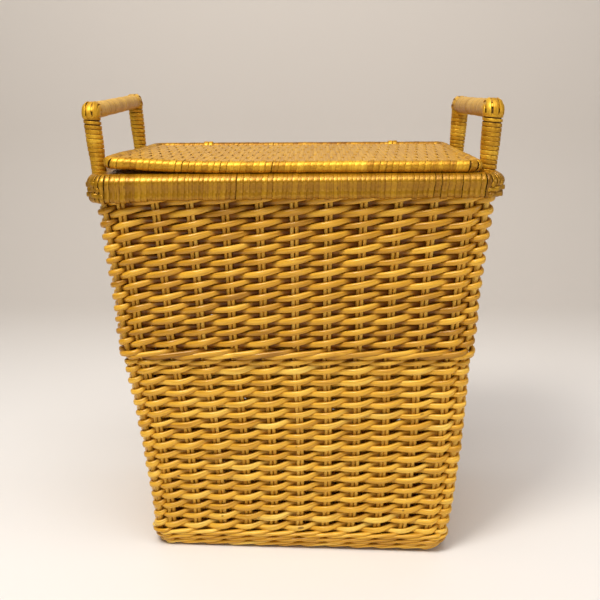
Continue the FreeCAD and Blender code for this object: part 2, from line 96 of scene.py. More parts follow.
class Cane:
    """Collects swept strands in one mesh, with a UV map along them and their tone and shade."""

    def __init__(self):
        self.verts, self.quads, self.caps = [], [], []
        self.uv_quads, self.tones, self.shades, self.count = [], [], [], 0

    def sweep(self, centres, outward, profile, wide, tall, tone, closed=False, shade=0.0):
        """Sweeps a profile of (across, out) points along centres, scaled by wide and tall."""
        n = len(centres)
        tangent = np.roll(centres, -1, 0) - np.roll(centres, 1, 0)
        if not closed:
            tangent[0] = centres[1] - centres[0]
            tangent[-1] = centres[-1] - centres[-2]
        tangent /= np.linalg.norm(tangent, axis=1)[:, None]
        outward = outward - tangent * (outward * tangent).sum(1)[:, None]
        outward /= np.linalg.norm(outward, axis=1)[:, None]
        across = np.cross(outward, tangent)
        wide, tall = np.broadcast_to(wide, n), np.broadcast_to(tall, n)
        points = (
            centres[:, None, :]
            + across[:, None, :] * (profile[None, :, 0] * wide[:, None])[:, :, None]
            + outward[:, None, :] * (profile[None, :, 1] * tall[:, None])[:, :, None]
        )
        self.grid(points, tone, closed, shade)

    def grid(self, points, tone, closed=False, shade=0.0):
        """Adds a tube from rings of points, joined end to end when closed and capped when not."""
        n, m = points.shape[:2]
        base = self.count
        self.verts.append(points.reshape(-1, 3))
        self.count += n * m
        steps = np.linalg.norm(np.roll(points.mean(1), -1, 0) - points.mean(1), axis=1)
        along = np.concatenate([[0], np.cumsum(steps)]) + dice.uniform(0, 40)
        i = np.arange(n if closed else n - 1)
        j = np.arange(m)
        a = (i[:, None] * m + j[None, :]).ravel()
        b = (i[:, None] * m + (j[None, :] + 1) % m).ravel()
        step = ((i + 1) % n)[:, None] * m
        c = (step + (j[None, :] + 1) % m).ravel()
        d = (step + j[None, :]).ravel()
        self.quads.append(np.stack([a, b, c, d], 1) + base)
        u0 = np.repeat(along[i], m)
        u1 = np.repeat(along[i + 1], m)
        v0 = np.tile(j / m, len(i))
        v1 = np.tile((j + 1) / m, len(i))
        corners = ((u0, v0), (u0, v1), (u1, v1), (u1, v0))
        self.uv_quads.append(np.stack([np.stack(corner, 1) for corner in corners], 1))
        self.tones.append(np.broadcast_to(tone, n).repeat(m))
        self.shades.append(np.broadcast_to(shade, n).repeat(m))
        if not closed:
            self.caps.append((base + np.arange(m))[::-1])
            self.caps.append(base + (n - 1) * m + np.arange(m))

    def make(self, name, material, body, slot, replaces=()):
        """Makes the piece, and names its body and the CAD nodes that it replaces; slot is not used."""
        verts = np.concatenate(self.verts)
        quads = np.concatenate(self.quads)
        uv = np.concatenate(self.uv_quads).reshape(-1, 2)
        loops = np.concatenate([quads.ravel(), *self.caps]).astype(np.int32)
        sizes = [4] * len(quads) + [len(cap) for cap in self.caps]
        starts = np.concatenate([[0], np.cumsum(sizes)])[:-1].astype(np.int32)
        mesh = bpy.data.meshes.new(name)
        mesh.vertices.add(len(verts))
        mesh.vertices.foreach_set("co", verts.ravel())
        mesh.loops.add(len(loops))
        mesh.loops.foreach_set("vertex_index", loops)
        mesh.polygons.add(len(starts))
        mesh.polygons.foreach_set("loop_start", starts)
        mesh.update(calc_edges=True)
        full = np.zeros((len(loops), 2))
        full[: len(uv)] = uv
        mesh.uv_layers.new(name="strand").data.foreach_set("uv", full.ravel())
        for label, values in (("tone", self.tones), ("shade", self.shades)):
            layer = mesh.attributes.new(label, "FLOAT", "POINT")
            layer.data.foreach_set("value", np.concatenate(values))
        mesh.polygons.foreach_set("use_smooth", np.ones(len(starts), bool))
        mesh.validate()
        piece = bpy.data.objects.new(name, mesh)
        bpy.context.scene.collection.objects.link(piece)
        mesh.materials.append(material)
        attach(piece, body)
        if replaces:
            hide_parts(*replaces)


def oval(count, flat=1.0):
    """A round profile of a strand; flat above 1 squares it off a little."""
    turn = np.arange(count) / count * 2 * math.pi
    c, s = np.cos(turn), np.sin(turn)
    power = 1 / flat
    return np.stack([np.sign(c) * abs(c) ** power, np.sign(s) * abs(s) ** power], 1) / 2


# sections of a strip of cane, as (across, out): domed, and flat with rounded edges
STRAP = np.array([(-0.5, -0.5), (0.5, -0.5), (0.5, 0.1), (0.3, 0.42), (0.0, 0.5), (-0.3, 0.42),
                  (-0.5, 0.1)])
FLAT_STRAP = np.array([(-0.5, -0.4), (0.5, -0.4), (0.5, 0.3), (0.43, 0.47), (0.0, 0.5), (-0.43, 0.47),
                       (-0.5, 0.3)])


def smooth(t):
    """Eases from 0 to 1 while t goes from 0 to 1."""
    t = np.clip(t, 0, 1)
    return t * t * (3 - 2 * t)


def wander(points, reach, seed, step):
    """Smooth noise between -reach and reach, changing over about step samples."""
    noise = random.Random(seed)
    knots = max(4, int(points / step) + 3)
    values = np.array([noise.uniform(-reach, reach) for _ in range(knots)])
    place = np.linspace(0, knots - 1.001, points)
    low = place.astype(int)
    t = smooth(place - low)
    return values[low] * (1 - t) + values[np.minimum(low + 1, knots - 1)] * t


# -------- the wall's outline


def wall_half(height):
    """Half width, half depth and corner radius of the middle of the wall at each height."""
    height = np.asarray(height, float)
    rise = (height - LOWER_LOW[2]) / (UPPER_HIGH[2] - LOWER_LOW[2])
    foot_x, foot_y = FOOT_HIGH[0], FOOT_HIGH[1]
    draw = FOOT_INSET * np.clip((LOWER_LOW[2] - height) / LOWER_LOW[2], 0, 1) ** 1.6
    rise = np.maximum(rise, 0)
    swell = SWELL * np.exp(-((height - WAIST_HIGH[2] - 22 * MM) / (26 * MM)) ** 2)
    half_x = foot_x + (UPPER_HIGH[0] - foot_x) * rise - WALL / 2 - draw + swell
    half_y = foot_y + (UPPER_HIGH[1] - foot_y) * rise - WALL / 2 - draw
    corner = WALL_CORNER_LOW + (WALL_CORNER_HIGH - WALL_CORNER_LOW) * rise - WALL / 2 + draw
    return half_x, half_y, corner


def round_side(side, a, half_long, half_cross, corner):
    """A point and its normal on one side of a rounded rectangle, a from the side's middle."""
    flat = half_long - corner
    angle = np.maximum(np.abs(a) - flat, 0) / corner
    sign = np.sign(a)
    x = np.where(angle > 0, sign * (flat + corner * np.sin(angle)), a)
    y = half_cross - corner + corner * np.cos(angle)
    nx, ny = sign * np.sin(angle), np.cos(angle)
    px = np.choose(side, [x, y, -x, -y])
    py = np.choose(side, [-y, x, y, -x])
    qx = np.choose(side, [nx, ny, -nx, -ny])
    qy = np.choose(side, [-ny, nx, ny, -nx])
    return px, py, qx, qy


def wall_point(u, height, out):
    """Point and outward normal where u counts uprights round the basket, from the front left corner."""
    u = np.mod(u, STAKES_ROUND)
    half_x, half_y, corner = wall_half(height)
    starts = CORNERS[:4]
    side = np.clip(np.searchsorted(starts, u, side="right") - 1, 0, 3)
    steps = np.where(side % 2 == 0, STAKES_FRONT, STAKES_END)
    share = np.where(side % 2 == 0, FRONT_SHARE, END_SHARE)
    half_long = np.where(side % 2 == 0, half_x, half_y)
    half_cross = np.where(side % 2 == 0, half_y, half_x)
    reach = half_long - corner + corner * math.pi / 4
    place = u - starts[side]

    def stop(k):
        a = (k - steps / 2) * share * half_long
        return np.where(k <= 0, -reach, np.where(k >= steps, reach, a))

    k = np.floor(place)
    a = stop(k) + (stop(k + 1) - stop(k)) * (place - k)
    px, py, nx, ny = round_side(side, a, half_long, half_cross, corner)
    normal = np.stack([nx, ny, np.zeros_like(nx)], 1)
    height = np.asarray(height)
    # the slump, the tuck of the right end and the twist of the foot
    low_end = 0.15 + 0.85 * smooth((height - 12 * MM) / (70 * MM))
    px = px + LEAN * low_end * smooth((WAIST_LOW[2] + 20 * MM - height) / (130 * MM))
    px = px - FOOT_TUCK * smooth(1 - height / (30 * MM)) * smooth(px / FOOT_HIGH[0])
    py = py - SKEW * px * smooth(1 - height / WAIST_HIGH[2])
    point = np.stack([px, py, np.broadcast_to(height, px.shape)], 1)
    return point + normal * np.asarray(out)[:, None], normal


def at_back(u):
    """1 along the back wall, 0 on the other three sides."""
    middle = 1.5 * STAKES_FRONT + STAKES_END
    return smooth(STAKES_FRONT / 2 + 0.5 - np.abs(np.mod(u, STAKES_ROUND) - middle))


def near_corner(u):
    """1 at a corner post, falling to 0 one step away."""
    u = np.mod(u, STAKES_ROUND)
    return np.clip(1 - np.abs(u[:, None] - CORNERS[None, :]).min(1), 0, 1)


# -------- materials


def feed(tree, socket, value):
    """Links a socket to another node's socket, or sets it to a number or a colour."""
    if isinstance(value, bpy.types.NodeSocket):
        tree.links.new(value, socket)
    else:
        socket.default_value = (*value, 1) if isinstance(value, tuple) else value


def add(tree, kind, inputs=None, **settings):
    """Adds a shader node with its settings and what feeds its inputs."""
    node = tree.nodes.new("ShaderNode" + kind)
    for key, value in settings.items():
        setattr(node, key, value)
    for key, value in (inputs or {}).items():
        feed(tree, node.inputs[key], value)
    return node


def shader(name, build):
    """A material whose build function fills in its principled shader."""
    material = bpy.data.materials.new(name)
    material.use_nodes = True
    tree = material.node_tree
    tree.nodes.clear()
    surface = add(tree, "BsdfPrincipled")
    add(tree, "OutputMaterial", {"Surface": surface.outputs["BSDF"]})
    build(tree, surface)
    return material


def ramp(tree, source, stops):
    """A colour ramp over source, with stops of (place, colour)."""
    node = add(tree, "ValToRGB", {"Fac": source})
    elements = node.color_ramp.elements
    elements[0].position, elements[0].color = stops[0][0], (*stops[0][1], 1)
    elements[1].position, elements[1].color = stops[-1][0], (*stops[-1][1], 1)
    for place, colour in stops[1:-1]:
        elements.new(place).color = (*colour, 1)
    return node.outputs["Color"]


def scaled(tree, source, factor, offset):
    """source times factor plus offset."""
    return add(tree, "Math", {0: source, 1: factor, 2: offset}, operation="MULTIPLY_ADD").outputs[0]


def attribute(tree, name):
    return add(tree, "Attribute", attribute_name=name).outputs["Fac"]


def strand_noise(tree, along, around, detail, offset):
    """Noise in strand coordinates: along is per metre, around per turn of the strand."""
    uv = add(tree, "UVMap", uv_map="strand")
    split = add(tree, "SeparateXYZ", {"Vector": uv.outputs["UV"]})
    join = add(tree, "CombineXYZ", {
        "X": scaled(tree, split.outputs["X"], along, offset),
        "Y": scaled(tree, split.outputs["Y"], around, offset),
        "Z": scaled(tree, attribute(tree, "tone"), 37.0, offset),
    })
    noise = add(tree, "TexNoise", {"Scale": 1.0, "Detail": detail, "Vector": join.outputs["Vector"]})
    return noise.outputs["Fac"]


def mix(tree, kind, factor, first, second):
    return add(tree, "Mix", {0: factor, 6: first, 7: second}, data_type="RGBA", blend_type=kind).outputs[2]


def tones(*colours):
    """Ramp stops from the darkest rods to the palest."""
    return list(zip(np.linspace(0.05, 0.95, len(colours)), colours))


HONEY = tones((0.29, 0.115, 0.005), (0.60, 0.295, 0.019), (0.79, 0.44, 0.042), (0.90, 0.63, 0.13))
PALE = tones((0.56, 0.28, 0.020), (0.78, 0.44, 0.045), (0.92, 0.60, 0.11))
GOLD = tones((0.36, 0.155, 0.007), (0.54, 0.27, 0.014), (0.68, 0.37, 0.024), (0.82, 0.50, 0.05))
STRAW = tones((0.42, 0.22, 0.022), (0.52, 0.29, 0.038), (0.62, 0.37, 0.065))
TAN = tones((0.37, 0.17, 0.012), (0.49, 0.25, 0.020), (0.62, 0.34, 0.040))
# the rim's cane in darker tones than GOLD: painted shade for the rim's dark face
SHADED_GOLD = tones((0.19, 0.075, 0.002), (0.32, 0.145, 0.004), (0.45, 0.225, 0.008), (0.66, 0.37, 0.02))
# DARK is painted shade: the near black of the rods under the wrappings
DARK = tones((0.08, 0.032, 0.004), (0.13, 0.055, 0.006), (0.18, 0.08, 0.012))
FIBRES = [(0.32, (0.66, 0.54, 0.38)), (0.5, (1, 1, 1)), (0.72, (1.12, 1.10, 1.0))]
KNOTS = [(0.83, (0, 0, 0)), (0.88, (0.8, 0.8, 0.8))]
SHADED = (0.36, 0.23, 0.11)         # what the colour is multiplied by where a strand lies in shade
VARNISH_TINT = (1.0, 0.80, 0.46)


def cane_material(name, colours, rough, coat, bump, along=22.0, around=9.0, sheen=0.0):
    """Varnished willow or cane: each rod has its own tone, with blotches, fine fibres and knots, darkened by
    painted shade where its shade attribute is set.
    """

    def build(tree, surface):
        blotch = strand_noise(tree, along * 0.6, 1.3, 2.0, 3.0)
        level = scaled(tree, blotch, 0.75, scaled(tree, attribute(tree, "tone"), 0.62, -0.17))
        fibre = strand_noise(tree, along, around, 3.0, 11.0)
        knot = strand_noise(tree, along * 5.0, 3.0, 0.0, 29.0)
        colour = mix(tree, "MULTIPLY", 0.8, ramp(tree, level, colours), ramp(tree, fibre, FIBRES))
        colour = mix(tree, "MIX", ramp(tree, knot, KNOTS), colour, tuple(c * 0.5 for c in colours[0][1]))
        # painted shade: the colour is multiplied by SHADED as far as the shade attribute goes
        colour = mix(tree, "MULTIPLY", attribute(tree, "shade"), colour, SHADED)
        gloss = add(tree, "MapRange", {"To Min": rough - 0.07, "To Max": rough + 0.12, "Value": fibre})
        bumps = add(tree, "Bump", {"Strength": bump, "Distance": 0.0004, "Height": fibre})
        for key, value in (("Base Color", colour), ("Roughness", gloss.outputs["Result"]),
                           ("Normal", bumps.outputs["Normal"]), ("Metallic", sheen), ("Coat Weight", coat),
                           ("Coat Roughness", 0.24), ("Specular Tint", VARNISH_TINT)):
            feed(tree, surface.inputs[key], value)

    return shader(name, build)


willow = cane_material("willow_varnished", HONEY, 0.34, 0.25, 0.5)
peeled = cane_material("willow_peeled", PALE, 0.42, 0.15, 0.5)
golden = cane_material("cane_golden", GOLD, 0.42, 0.08, 0.6, along=14.0, around=16.0, sheen=0.5)
# the rim's wrapping is the golden cane given darker tones, as painted shade on its face
rim_gold_shaded = cane_material("cane_rim", SHADED_GOLD, 0.34, 0.25, 0.6, along=14.0, around=16.0, sheen=0.5)
matte_cane = cane_material("cane_matte", STRAW, 0.5, 0.15, 0.6, along=14.0, around=16.0)
lid_cane = cane_material("cane_lid", TAN, 0.5, 0.08, 0.6, along=14.0, around=10.0)
# the rods under the wrappings are near black, as painted shade that darkens the seams between the strips over
# them
painted_shade_core = cane_material("rod_hidden", DARK, 0.7, 0.0, 0.5)

# -------- pairing weave of the wall


def rods_along(total, phase, noise):
    """Cuts a strand of some length, in uprights, into rods that overlap behind an upright."""
    start = 0.0
    while start < total:
        reach = noise.uniform(*ROD_LAPS) * STAKES_ROUND
        end = start + reach
        if total - end < 6:
            end = total
        else:
            end = math.floor((end - phase) / 2) * 2 + 1 + phase
        yield start, end
        start = end


def zigzag(q, corners):
    """A repeating line through corners, given as (place, height) over one turn of 2, with soft bends."""
    place, level = np.array(corners).T
    total = 0
    for shift in (-0.14, -0.07, 0.0, 0.07, 0.14):
        total = total + np.interp(np.mod(q + shift + 1, 2) - 1, place, level, period=2)
    return total / 5


# how a stroke's height goes while it passes in front of one upright and behind the next
LONG_RISE = [(-0.86, -1.0), (0.70, 1.0)]
FLAT_THEN_RISE = [(-0.88, -1.35), (0.22, -0.10), (0.62, 1.1)]


def pairing(cane, height_at, total, lift, corners, seed, tall=STRAND_TALL, thick=STRAND_THICK,
            tone=0.3, begin=0, inner_painted_shade=1.0):
    """Two strands twined round the uprights, with the row's height given by height_at."""
    noise = random.Random(seed)
    for phase in (0, 1):
        for start, end in rods_along(total, phase, noise):
            first = start - (ROD_TAIL if start > 0 else 0)
            last = end + (ROD_TAIL if end < total else 0)
            u = np.linspace(first, last, int((last - first) * SAMPLES) + 2) + begin
            p = (u - phase) * math.pi
            reach = thick / 2 + STAKE_RADIUS + 0.2 * MM + (POST_RADIUS - STAKE_RADIUS) * near_corner(u)
            out = np.cos(p) * reach + wander(len(u), 0.35 * MM, noise.random(), 6)
            tuck = np.clip((start + begin + ROD_TAIL - u) / ROD_TAIL, 0, 1) * (start > 0)
            out -= tuck * 2.6 * MM
            rise = lift * zigzag(u - phase, corners)
            height = height_at(u) + rise + wander(len(u), 0.45 * MM, noise.random(), 7)
            share = (u - begin - start) / (end - start)
            grow = noise.uniform(1.0, 1.14) - 0.2 * share
            grow = grow * (1 - 0.7 * np.clip((u - begin - end) / ROD_TAIL, 0, 1) * (end < total))
            points, normal = wall_point(u, height, out)
            size = grow * (1 + wander(len(u), 0.06, noise.random(), 9))
            fuller = 1 + INNER_FULLER * smooth((-np.cos(p) - 0.3) / 0.6) + BACK_FULLER * at_back(u)
            fuller -= PINCH * np.exp(-((np.cos(p) - 0.1) / 0.38) ** 2) * (1 - at_back(u))
            # painted shade: where a stroke passes inside the wall, behind the uprights and in the gaps
            # between rows, its colour is darkened; the back wall is left as it is
            inside = inner_painted_shade * smooth((0.15 - np.cos(p)) / 0.75) * (1 - at_back(u))
            cane.sweep(points, normal, oval(10, 1.2), tall * size * fuller, thick * size,
                       tone + 0.5 * noise.random(), shade=inside)


def weave_band(name, first, last, seed, low, high, rows, lift, corners, tone, inner_painted_shade, replaces=()):
    """Rows first to last of a band; each is level and steps up to the next along the left end."""
    cane = Cane()
    pitch = (high - low) / (rows - 1)
    top = pitch * (rows - 1)

    def height_at(u):
        lap = np.floor(u / STAKES_ROUND)
        step = smooth((u - lap * STAKES_ROUND - STAKES_ROUND + STAKES_END) / STAKES_END)
        return low + np.clip(pitch * (first + lap + step), 0, top)

    begin = -STAKES_END if first == 0 else 0
    total = (last - first) * STAKES_ROUND - (5 if last == rows else 0) - begin
    pairing(cane, height_at, total, lift, corners, seed, tone=tone, begin=begin, inner_painted_shade=inner_painted_shade)
    cane.make(name, willow, "basket", "willow_weave", replaces)


def level(height):
    """The height of a row that stays level."""
    return lambda u: np.full(len(u), height)


LOWER = dict(low=LOWER_LOW[2] + 6.5 * MM, high=LOWER_HIGH[2] - 7.5 * MM, rows=16, lift=4.2 * MM,
             corners=FLAT_THEN_RISE, tone=0.40, inner_painted_shade=0.4)
UPPER = dict(low=UPPER_LOW[2] + 7.5 * MM, high=UPPER_HIGH[2] + 2 * MM, rows=13, lift=6.2 * MM,
             corners=LONG_RISE, tone=0.08, inner_painted_shade=1.0)
weave_band("lower_weave_bottom", 0, 8, 21, **LOWER, replaces=("lower_weave",))
weave_band("lower_weave_top", 8, 16, 22, **LOWER)
weave_band("upper_weave_rows", 0, 13, 23, **UPPER, replaces=("upper_weave",))
last_row = Cane()
pairing(last_row, level(UPPER_HIGH[2] + 5 * MM), STAKES_ROUND + 0.5, 3.5 * MM, LONG_RISE, 24,
        6.4 * MM, 4.6 * MM, tone=0.1)
last_row.make("upper_weave_last_row", willow, "basket", "willow_weave")

# -------- waling: three strands at once


def waling(cane, height_at, laps, spread, tall, thick, seed, base_out, tone):
    """Three strands, each in front of two uprights and behind one, the strokes rising to the right."""
    noise = random.Random(seed)
    for phase in (0, 1, 2):
        length = laps * STAKES_ROUND
        u = np.linspace(WALE_START, WALE_START + length, int(length * SAMPLES))
        q = np.mod(u - phase + 1.5, 3) - 1.5
        inside = smooth((np.abs(q) - 0.55) / 0.85)
        reach = thick / 2 + 2.6 * MM + 1.6 * MM * near_corner(u)
        out = base_out + reach * (1 - 2 * inside) + wander(len(u), 0.3 * MM, noise.random(), 8)
        rise = np.where(np.abs(q) <= 1, q, np.sign(q) * (3 - 2 * np.abs(q)))
        height = height_at(u) + rise * spread + wander(len(u), 0.4 * MM, noise.random(), 9)
        fuller = 1 + BACK_FULLER * at_back(u)
        size = 1 + wander(len(u), 0.1, noise.random(), 60) + wander(len(u), 0.05, noise.random(), 9)
        points, normal = wall_point(u, np.maximum(height, 0.55 * tall * fuller * size), out)
        tones = tone + wander(len(u), 0.4, noise.random(), 150)
        # painted shade: a stroke is darkened where it passes behind an upright, except in the back wall
        cane.sweep(points, normal, oval(10, 1.1), tall * size * fuller, thick * size, tones,
                   shade=inside * (1 - at_back(u)))


waist = Cane()
waling(waist, level(WAIST_HIGH[2] - 8 * MM), 1.02, 5.2 * MM, 7.4 * MM, 6.2 * MM, 31, 1.0 * MM, 0.28)
pairing(waist, level(WAIST_LOW[2] + 2.5 * MM), STAKES_ROUND + 0.5, 3.2 * MM, LONG_RISE, 32,
        6.4 * MM, 4.6 * MM, 0.15)
waist.make("waist_wale_rows", willow, "basket", "willow_weave", ("waist_wale",))

FOOT_FIRST, FOOT_PITCH = 4.6 * MM, 8.8 * MM     # height of the foot's first row, and its rise in one lap
foot = Cane()
waling(foot, lambda u: FOOT_FIRST + FOOT_PITCH * (u - WALE_START) / STAKES_ROUND, 2.9, 4.4 * MM,
       5.0 * MM, 6.4 * MM, 41, 0.6 * MM, 0.6)
foot.make("foot_wale_rows", willow, "basket", "willow_weave", ("foot_wale",))

# -------- uprights


def upright(cane, u, sideways, radius, low, high, seed):
    """One rod standing in the middle of the wall, sideways from the place u along the wall."""
    noise = random.Random(seed)
    z = np.linspace(low, high, 36)
    points, normal = wall_point(np.full(len(z), u), z, np.zeros(len(z)))
    along = np.stack([-normal[:, 1], normal[:, 0], np.zeros(len(z))], 1)
    sway = sideways + wander(len(z), 0.35 * MM, noise.random(), 7)
    lean = wander(len(z), 0.2 * MM, noise.random(), 7)
    points = points + along * sway[:, None] + normal * lean[:, None]
    size = 2 * radius * (1.04 - 0.1 * (z - low) / (high - low) + wander(len(z), 0.04, noise.random(), 6))
    cane.sweep(points, normal, oval(10), size, size, noise.random())


def stand(name, u, rods):
    """The rods of one CAD node of uprights, given as (sideways, radius)."""
    low, high = node_box(name)
    cane = Cane()
    for sideways, radius in rods:
        upright(cane, u, sideways, radius, low[2], high[2], name + str(sideways))
    cane.make(name + "_rods", peeled, "basket", "peeled_willow_stakes", (name,))


PAIR = ((-STAKE_SPREAD, STAKE_RADIUS), (STAKE_SPREAD, STAKE_RADIUS))
for k in range(1, STAKES_FRONT):
    stand(f"stakes_front_{k:02d}", k, PAIR)
    stand(f"stakes_back_{k:02d}", 2 * STAKES_FRONT + STAKES_END - k, PAIR)
for k in range(1, STAKES_END):
    stand(f"stakes_right_{k:02d}", STAKES_FRONT + k, PAIR)
    stand(f"stakes_left_{k:02d}", STAKES_ROUND - k, PAIR)
for name, u in zip(("front_left", "front_right", "back_right", "back_left"), CORNERS[:4]):
    stand("corner_post_" + name, float(u), ((0.0, POST_RADIUS),))

# -------- the rim

RIM_CORNER, MOUTH_CORNER, RIM_BREADTH = 30 * MM, 7 * MM, 42 * MM
RIM_ROD, RIM_LOW_ROD = 13 * MM, 6.0 * MM    # radius of the wrapping round the upper and the lower bundles
LOW_INSET, HOLLOW = 1.5 * MM, 2.4 * MM      # how far the lower bundles stand in, and the face between sags
RIBBON_THICK = 1.1 * MM


def rim_halves(side):
    """Half the rim's length along a side, and half its length across it."""
    return (RIM_HIGH[0], RIM_HIGH[1]) if side % 2 == 0 else (RIM_HIGH[1], RIM_HIGH[0])


def to_corner(long_half, corner):
    """Length of a rounded side's outline from its middle to the middle of the corner."""
    return long_half - corner * (1 - math.pi / 4)


def rim_spot(side, a, inset):
    """A place in the rim at an inset from its outer line, and the level direction that faces out."""
    long_half, cross_half = rim_halves(side)
    inner_long, inner_cross = long_half - RIM_BREADTH, cross_half - RIM_BREADTH
    reach = to_corner(long_half, RIM_CORNER)
    draw = (reach - to_corner(inner_long, MOUTH_CORNER)) * smooth((np.abs(a) - reach + 75 * MM) / (75 * MM))
    outer = np.stack(round_side(side, a, long_half, cross_half, RIM_CORNER), 1)
    inner = np.stack(round_side(side, a - np.sign(a) * draw, inner_long, inner_cross, MOUTH_CORNER), 1)
    inset = np.broadcast_to(inset, len(outer))[:, None]
    blend = smooth((inset / RIM_BREADTH - 0.2) / 0.6)
    sideways = inner[:, :2] - outer[:, :2] + outer[:, 2:] * RIM_BREADTH
    facing = outer[:, 2:] * (1 - blend) + inner[:, 2:] * blend
    spot = outer[:, :2] - outer[:, 2:] * inset + sideways * blend
    return spot, facing / np.linalg.norm(facing, axis=1)[:, None]


def rim_outline():
    """The wrapped rim's section: inset, height below the top, outward normal, and how far it is the face."""
    tall = RIM_HIGH[2] - RIM_LOW[2]
    high, low = RIM_ROD + RIBBON_THICK / 2, RIM_LOW_ROD + RIBBON_THICK / 2
    centres = [(high, -high, RIM_ROD), (low + LOW_INSET, low - tall, RIM_LOW_ROD),
               (RIM_BREADTH - low - LOW_INSET, low - tall, RIM_LOW_ROD), (RIM_BREADTH - high, -high, RIM_ROD)]
    points = []
    for k, (cx, cy, r) in enumerate(centres):
        for t in np.linspace(0, math.pi / 2, 7):
            turn = math.pi / 2 + k * math.pi / 2 + t
            nx, ny = math.cos(turn), math.sin(turn)
            points.append((cx + r * nx, cy + r * ny, nx, ny, 0.0))
        next_x, next_y, next_r = centres[(k + 1) % 4]
        nx, ny = math.cos(math.pi + k * math.pi / 2), math.sin(math.pi + k * math.pi / 2)
        hollow = HOLLOW if k % 2 == 0 else 0.8 * MM
        for t in (0.2, 0.4, 0.6, 0.8):
            sag = r + (next_r - r) * t - hollow * math.sin(math.pi * t)
            points.append((cx + (next_x - cx) * t + sag * nx, cy + (next_y - cy) * t + sag * ny, nx, ny,
                           math.sin(math.pi * t) * (k == 0)))
    return np.array(points)


SECTION = rim_outline()


def rim_shorten(x):
    """How much of its height the rim keeps at x: the left end hangs lower than the right."""
    return np.interp(x, (-0.26, -0.17, 0.05, 0.26), (1.02, 0.89, 0.84, 0.81))


def rim_ribbon(cane, side, a, wide, lean, lift, short, tone):
    """One turn of the wrapping round the rim, at the place a along a side."""
    inset, drop, nn, nz, face = SECTION.T
    tall = RIM_HIGH[2] - RIM_LOW[2]
    shift = lean * np.clip(1 - inset / (RIM_BREADTH / 2), -1, 1) * (drop + tall / 2) / (tall / 2)
    spots = np.full(len(SECTION), a)
    bulge = smooth((abs(a) - rim_halves(side)[0] + RIM_CORNER + 30 * MM) / (45 * MM))
    inset = inset - (lift + bulge * (HOLLOW - 1.0 * MM)) * face
    plan, facing = rim_spot(side, spots + shift, inset)
    ahead, _ = rim_spot(side, spots + shift + 1 * MM, inset)
    drop = drop * rim_shorten(plan[:, 0]) * (1 + short * smooth(-drop / tall))
    outward = np.concatenate([facing * -nn[:, None], nz[:, None]], 1)
    points = np.concatenate([plan, (RIM_HIGH[2] + drop)[:, None]], 1) + outward * lift
    wide = wide * np.clip(np.linalg.norm(ahead - plan, axis=1) / MM, 0.25, 1)
    cane.sweep(points, outward, FLAT_STRAP, wide, RIBBON_THICK, tone, closed=True)


rim = Cane()
noise = random.Random(51)
for side in range(4):
    long_half = rim_halves(side)[0]
    reach = to_corner(long_half, RIM_CORNER)
    flat = long_half - RIM_CORNER - 4 * MM
    leans = 0.7 * MM + wander(80, 1.3 * MM, side + 5, 9)
    spot = -reach
    while spot < reach - 4 * MM:
        wide = noise.uniform(5.4, 8.4) * MM
        open_seam = noise.random() < 0.3
        step = wide + (noise.uniform(0.4, 0.9) if open_seam else noise.uniform(-1.1, -0.6)) * MM
        if abs(spot) > flat:
            wide, step = 5.6 * MM, 7.1 * MM
        lean = leans[int((spot + reach) / (2 * reach) * (len(leans) - 1))]
        lift = noise.uniform(-0.15, 0.15) * MM
        rim_ribbon(rim, side, spot + step / 2, wide, lean, lift, noise.uniform(-0.03, 0.03),
                   noise.uniform(0.2, 0.62))
        spot += step
rim.make("rim_wrap_ribbons", rim_gold_shaded, "basket", "cane_wrap", ("rim_wrap",))

# short strips plaited round the outer face of the rim's corners
plait = Cane()
for corner in range(4):
    for row in range(3):
        drop = (12.0 + 7.0 * row) * MM
        ends = 17 * MM + noise.uniform(-3, 3) * MM
        halves = []
        for side, sign in ((corner, 1), ((corner + 1) % 4, -1)):
            long_half, cross_half = rim_halves(side)
            reach = to_corner(long_half, RIM_CORNER)
            a = sign * np.linspace(reach - ends, reach, 16)
            line = np.stack(round_side(side, a, long_half, cross_half, RIM_CORNER), 1)
            halves.append(line if sign > 0 else line[::-1][1:])
        line = np.concatenate(halves)
        t = np.linspace(-1, 1, len(line))
        wave = np.sin(t * ends / (4.4 * MM) * math.pi / 2 + row * math.pi)
        dip = 1 - smooth((1 - np.abs(t)) / 0.12)
        roll = abs(drop / MM - 18) / 18
        out = -0.9 * MM + 1.2 * MM * wave - 2.0 * MM * dip - 1.6 * MM * roll ** 3
        normal = np.concatenate([line[:, 2:], np.zeros((len(line), 1))], 1)
        height = RIM_HIGH[2] - drop + 1.2 * MM * np.sin(t * 2 + row)
        points = np.stack([line[:, 0], line[:, 1], height], 1) + normal * out[:, None]
        plait.sweep(points, normal, STRAP, 5.6 * MM * (1 - 0.5 * dip), RIBBON_THICK,
                    noise.uniform(0.3, 0.8))
plait.make("rim_corner_plaits", rim_gold_shaded, "basket", "cane_wrap")


